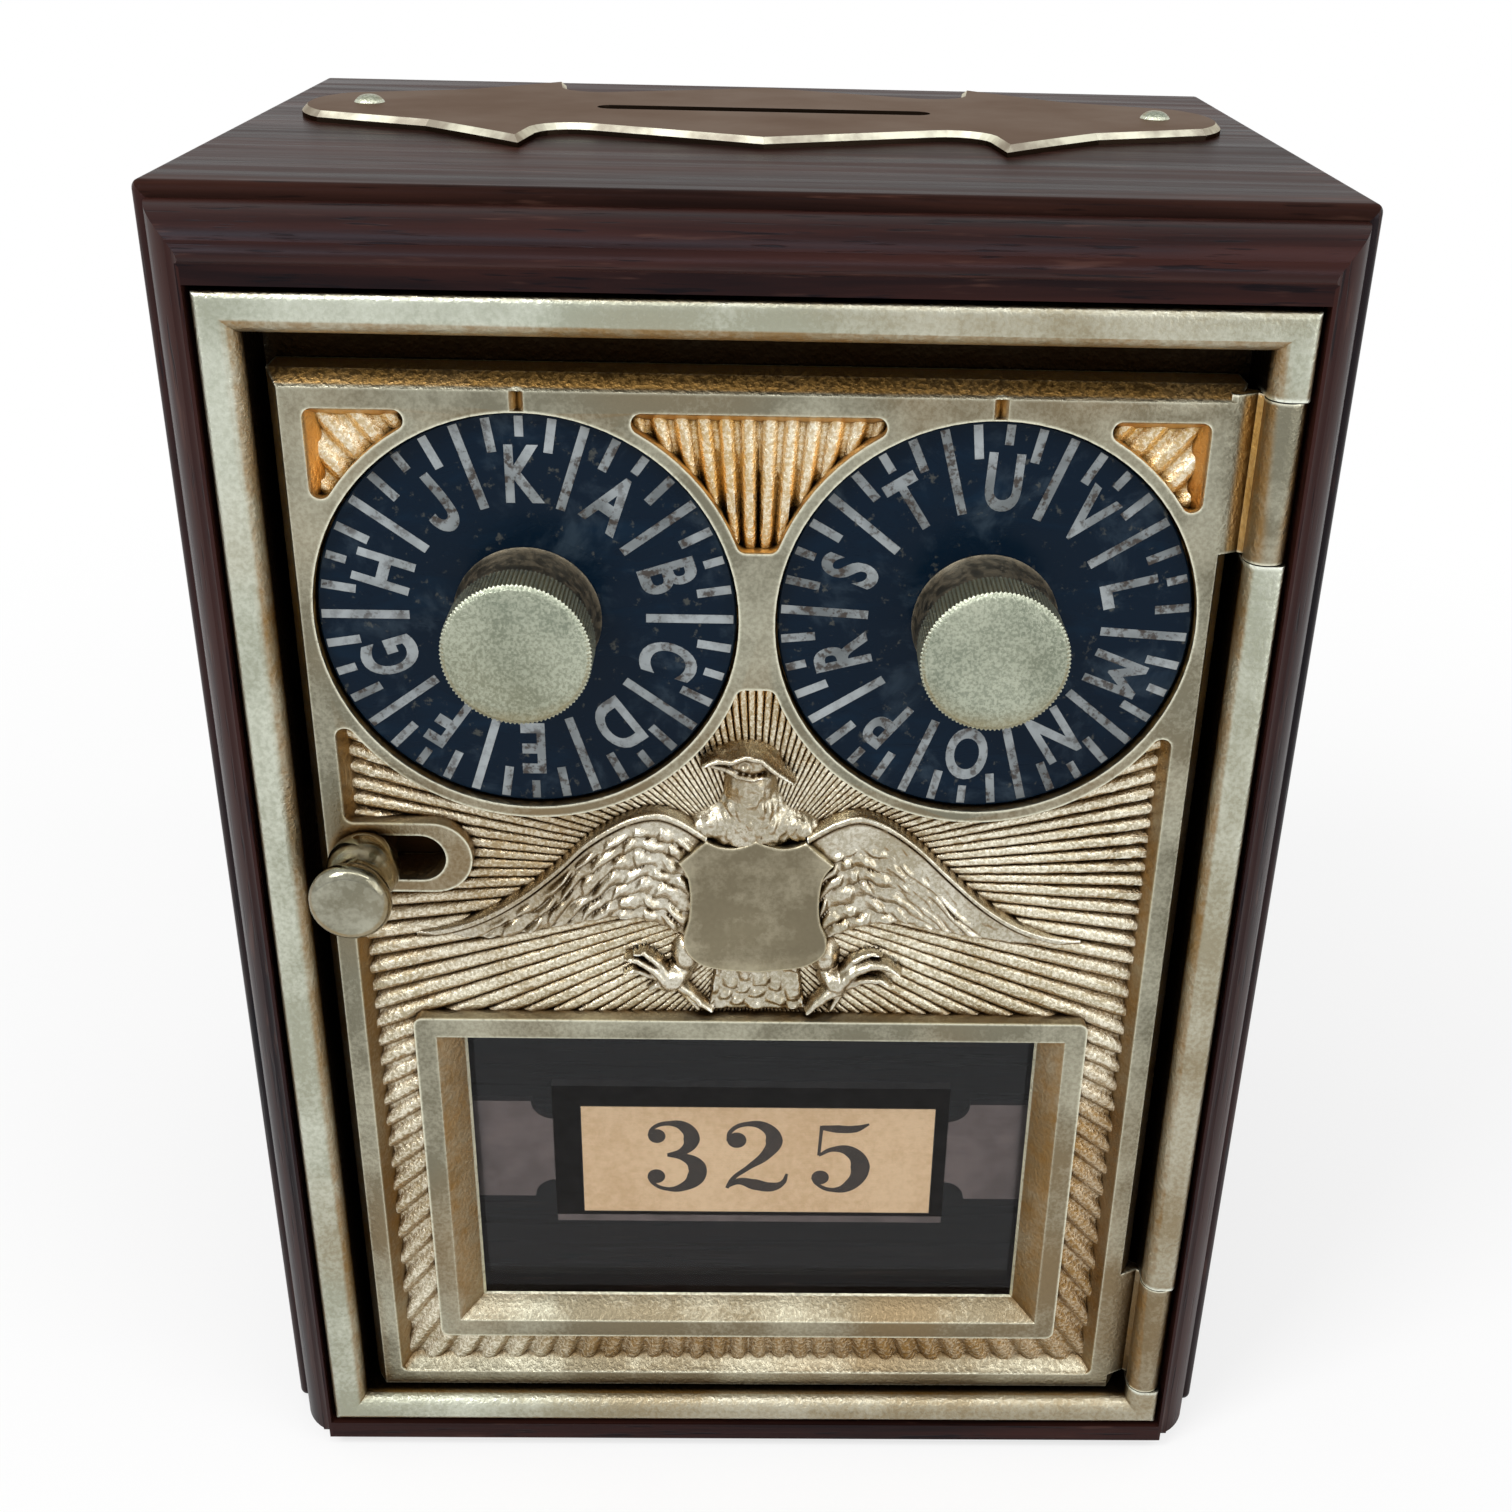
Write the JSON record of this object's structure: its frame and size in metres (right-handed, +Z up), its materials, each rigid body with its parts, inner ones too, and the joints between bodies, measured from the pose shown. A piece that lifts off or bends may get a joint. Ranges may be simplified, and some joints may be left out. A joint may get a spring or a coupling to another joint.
{
  "type": "brass post office box door",
  "caption": "Cast brass mailbox door with two lettered dials, window and latch, hinged in a brass frame on a small wooden coin case.",
  "frame": {"origin": "centre of the case's base, on the plane it stands on", "axes": "+Z up, -Y out of the door's front, +X to the right seen from the front"},
  "size_m": [0.1002, 0.0843, 0.1332],
  "materials": {
    "case_wood": "satin oiled walnut",
    "moulding_wood": "satin oiled walnut",
    "brass_castings": "aged casting with polished rims",
    "brass_polished": "polished",
    "wheel_brass": "plain milled",
    "screw_brass": "dull",
    "holder_bronze": "dark bronze",
    "steel": "plain",
    "dial_black": "gloss enamel",
    "card_paper": "matt card",
    "glass": "clear"
  },
  "bodies": {
    "case": {"case_top": "case_wood", "case_bottom": "case_wood", "case_left_side": "case_wood", "case_right_side": "case_wood", "case_back_panel": "case_wood", "back_panel_screws": "screw_brass", "front_moulding_top": "moulding_wood", "front_moulding_left": "moulding_wood", "front_moulding_right": "moulding_wood", "front_moulding_bottom": "moulding_wood", "coin_slot_plate": "brass_polished", "slot_plate_pins": "screw_brass", "door_frame": "brass_castings", "frame_screws": "screw_brass", "hinge_pin_upper": "steel", "hinge_pin_lower": "steel"},
    "door": {"door": "brass_castings", "window_glass": "glass", "card_holder": "holder_bronze", "number_card": "card_paper", "card_holder_screws": "screw_brass", "bolt_guide": "wheel_brass", "bolt_guide_screws": "screw_brass", "lock_cover": "wheel_brass", "cover_screws": "screw_brass"},
    "dial_left_body": {"dial_left": "dial_black", "dial_knob_left": "brass_polished", "spindle_left": "steel", "lock_wheel_left": "wheel_brass", "wheel_washer_left": "steel", "wheel_screw_left": "steel"},
    "dial_right_body": {"dial_right": "dial_black", "dial_knob_right": "brass_polished", "spindle_right": "steel", "lock_wheel_right": "wheel_brass", "wheel_washer_right": "steel", "wheel_screw_right": "steel"},
    "latch": {"latch_knob": "brass_polished", "bolt": "wheel_brass", "fence_lever": "wheel_brass", "fence_screws": "steel"}
  },
  "joints": [
    {"name": "door_swing", "type": "hinge", "parent": "case", "child": "door", "pos_m": [0.0428, -0.03725, 0], "axis": [0, 0, 1], "range_deg": [0, 105]},
    {"name": "dial_left_turn", "type": "hinge", "parent": "door", "child": "dial_left_body", "pos_m": [-0.0198, -0.0323, 0.09625], "axis": [0, 1, 0], "continuous": true},
    {"name": "dial_right_turn", "type": "hinge", "parent": "door", "child": "dial_right_body", "pos_m": [0.0198, -0.0323, 0.09625], "axis": [0, 1, 0], "continuous": true},
    {"name": "latch_slide", "type": "slide", "parent": "door", "child": "latch", "axis": [1, 0, 0], "range_m": [0, 0.0048]}
  ]
}
